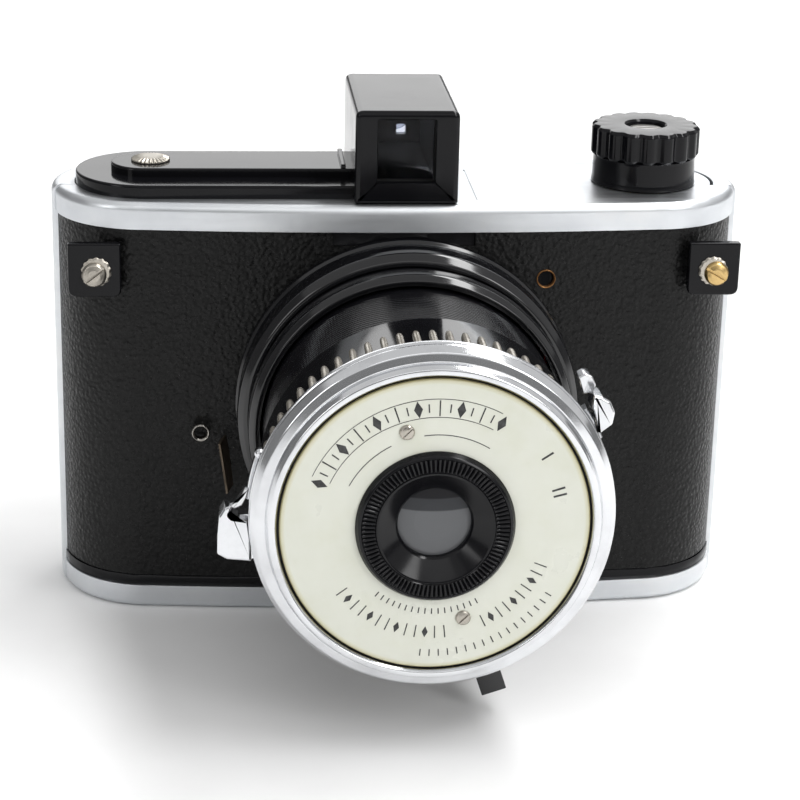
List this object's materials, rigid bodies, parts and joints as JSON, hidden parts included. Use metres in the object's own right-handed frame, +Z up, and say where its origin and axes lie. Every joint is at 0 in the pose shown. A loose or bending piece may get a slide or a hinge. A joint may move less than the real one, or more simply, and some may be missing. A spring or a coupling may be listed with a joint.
{
  "type": "viewfinder roll film camera",
  "caption": "Eye-level viewfinder roll-film camera with a bright-bound grained body, a lens barrel that screws out, a tunnel finder and a scalloped winding knob.",
  "frame": {"origin": "centre of the bottom plate, on the surface that the camera stands on", "axes": "+X to the right seen from the front, the lens looks along -Y, +Z up"},
  "size_m": [0.116, 0.0885, 0.0872],
  "materials": {
    "black_moulding": "gloss",
    "leatherette": "grained satin",
    "bright_metal": "satin",
    "black_enamel": "gloss",
    "worn_enamel": "worn gloss",
    "dull_black": "matt",
    "chrome": "polished",
    "cream_enamel": "satin",
    "nickel": "satin",
    "plain_steel": "satin",
    "brass": "satin",
    "clear_glass": "clear",
    "lens_glass": "clear",
    "red_film": "clear",
    "spool_paint": "satin"
  },
  "bodies": {
    "root": {"body_shell": "black_moulding", "front_leatherette": "leatherette", "top_plate": "bright_metal", "bottom_plate": "bright_metal", "top_moulding": "black_moulding", "bar_stud": "nickel", "finder_housing": "black_moulding", "finder_front_lens": "clear_glass", "finder_eyepiece": "clear_glass", "strap_lug_left": "black_enamel", "strap_lug_right": "black_enamel", "strap_screw_left": "nickel", "strap_screw_right": "brass", "lens_flange": "black_enamel", "flange_collar": "black_enamel", "flange_screws": "plain_steel", "catch_bracket": "plain_steel", "catch_pin": "plain_steel", "knob_bush": "brass", "light_box": "dull_black", "film_gate": "dull_black", "roller_pins": "plain_steel", "spool_seats": "plain_steel"},
    "back": {"back_cover": "bright_metal", "back_leatherette": "leatherette", "red_windows": "red_film", "pressure_plate": "dull_black", "pressure_springs": "plain_steel"},
    "latch": {"back_latch": "nickel"},
    "carrier": {"barrel_stop_ring": "dull_black"},
    "barrel": {"barrel_tube": "black_enamel", "shutter_housing": "black_enamel", "grip_ring": "worn_enamel", "bezel": "chrome", "face_plate": "cream_enamel", "plate_rivets": "nickel", "front_cover": "dull_black", "lens_ring": "black_enamel", "front_lens": "lens_glass", "lens_retainer": "dull_black", "shutter_base": "dull_black", "aperture_plate": "dull_black", "shutter_pivot": "plain_steel", "shutter_pillars": "brass", "release_spring": "plain_steel", "rear_lens_cell": "dull_black", "rear_lens": "lens_glass", "stand_foot": "black_enamel", "foot_screw": "plain_steel"},
    "release": {"release_lever": "chrome"},
    "blade": {"shutter_disc": "plain_steel"},
    "selector": {"selector_lever": "chrome"},
    "winder": {"winding_knob": "black_moulding", "knob_screw": "plain_steel", "winding_shaft": "plain_steel", "clutch_spring": "plain_steel", "takeup_spool": "spool_paint"},
    "roller_left": {"film_roller_left": "plain_steel"},
    "roller_right": {"film_roller_right": "plain_steel"},
    "catch": {"catch_leaf": "brass"}
  },
  "joints": [
    {"name": "back_pull", "type": "slide", "parent": "root", "child": "back", "axis": [0, 1, 0], "range_m": [0, 0.04]},
    {"name": "latch_slide", "type": "slide", "parent": "back", "child": "latch", "axis": [-1, 0, 0], "range_m": [0, 0.0025]},
    {"name": "barrel_slide", "type": "slide", "parent": "root", "child": "carrier", "axis": [0, -1, 0], "range_m": [-0.0175, 0.00207]},
    {"name": "barrel_turn", "type": "hinge", "parent": "carrier", "child": "barrel", "pos_m": [0.00073, -0.04554, 0.03795], "axis": [0, 1, 0], "range_deg": [-158, 19.1]},
    {"name": "release_press", "type": "hinge", "parent": "barrel", "child": "release", "pos_m": [0.00073, -0.06254, 0.03795], "axis": [0, -1, 0], "range_deg": [0, 15], "stiffness_Nm_per_rad": 0.02, "springref_deg": -5.73},
    {"name": "blade_turn", "type": "hinge", "parent": "barrel", "child": "blade", "pos_m": [0.00073, -0.05834, 0.02995], "axis": [0, -1, 0], "range_deg": [-0.5, 90.5]},
    {"name": "selector_turn", "type": "hinge", "parent": "barrel", "child": "selector", "pos_m": [0.00073, -0.06254, 0.03795], "axis": [0, 1, 0], "range_deg": [0, 17]},
    {"name": "knob_turn", "type": "hinge", "parent": "root", "child": "winder", "pos_m": [0.042, -0.0007, 0.0767], "axis": [0, 0, -1], "continuous": true},
    {"name": "roller_left_turn", "type": "hinge", "parent": "root", "child": "roller_left", "pos_m": [-0.02867, 0.0066, 0.036], "axis": [0, 0, 1], "continuous": true},
    {"name": "roller_right_turn", "type": "hinge", "parent": "root", "child": "roller_right", "pos_m": [0.03013, 0.0066, 0.036], "axis": [0, 0, 1], "continuous": true},
    {"name": "catch_swing", "type": "hinge", "parent": "root", "child": "catch", "pos_m": [-0.0326, -0.018, 0.0329], "axis": [0, 0, -1], "range_deg": [0, 20], "stiffness_Nm_per_rad": 0.005, "springref_deg": -5.73}
  ],
  "couplings": [
    {"joint": "barrel_turn", "follows": "barrel_slide", "rad_per_m": 157.08},
    {"joint": "blade_turn", "follows": "release_press", "ratio": 6}
  ]
}
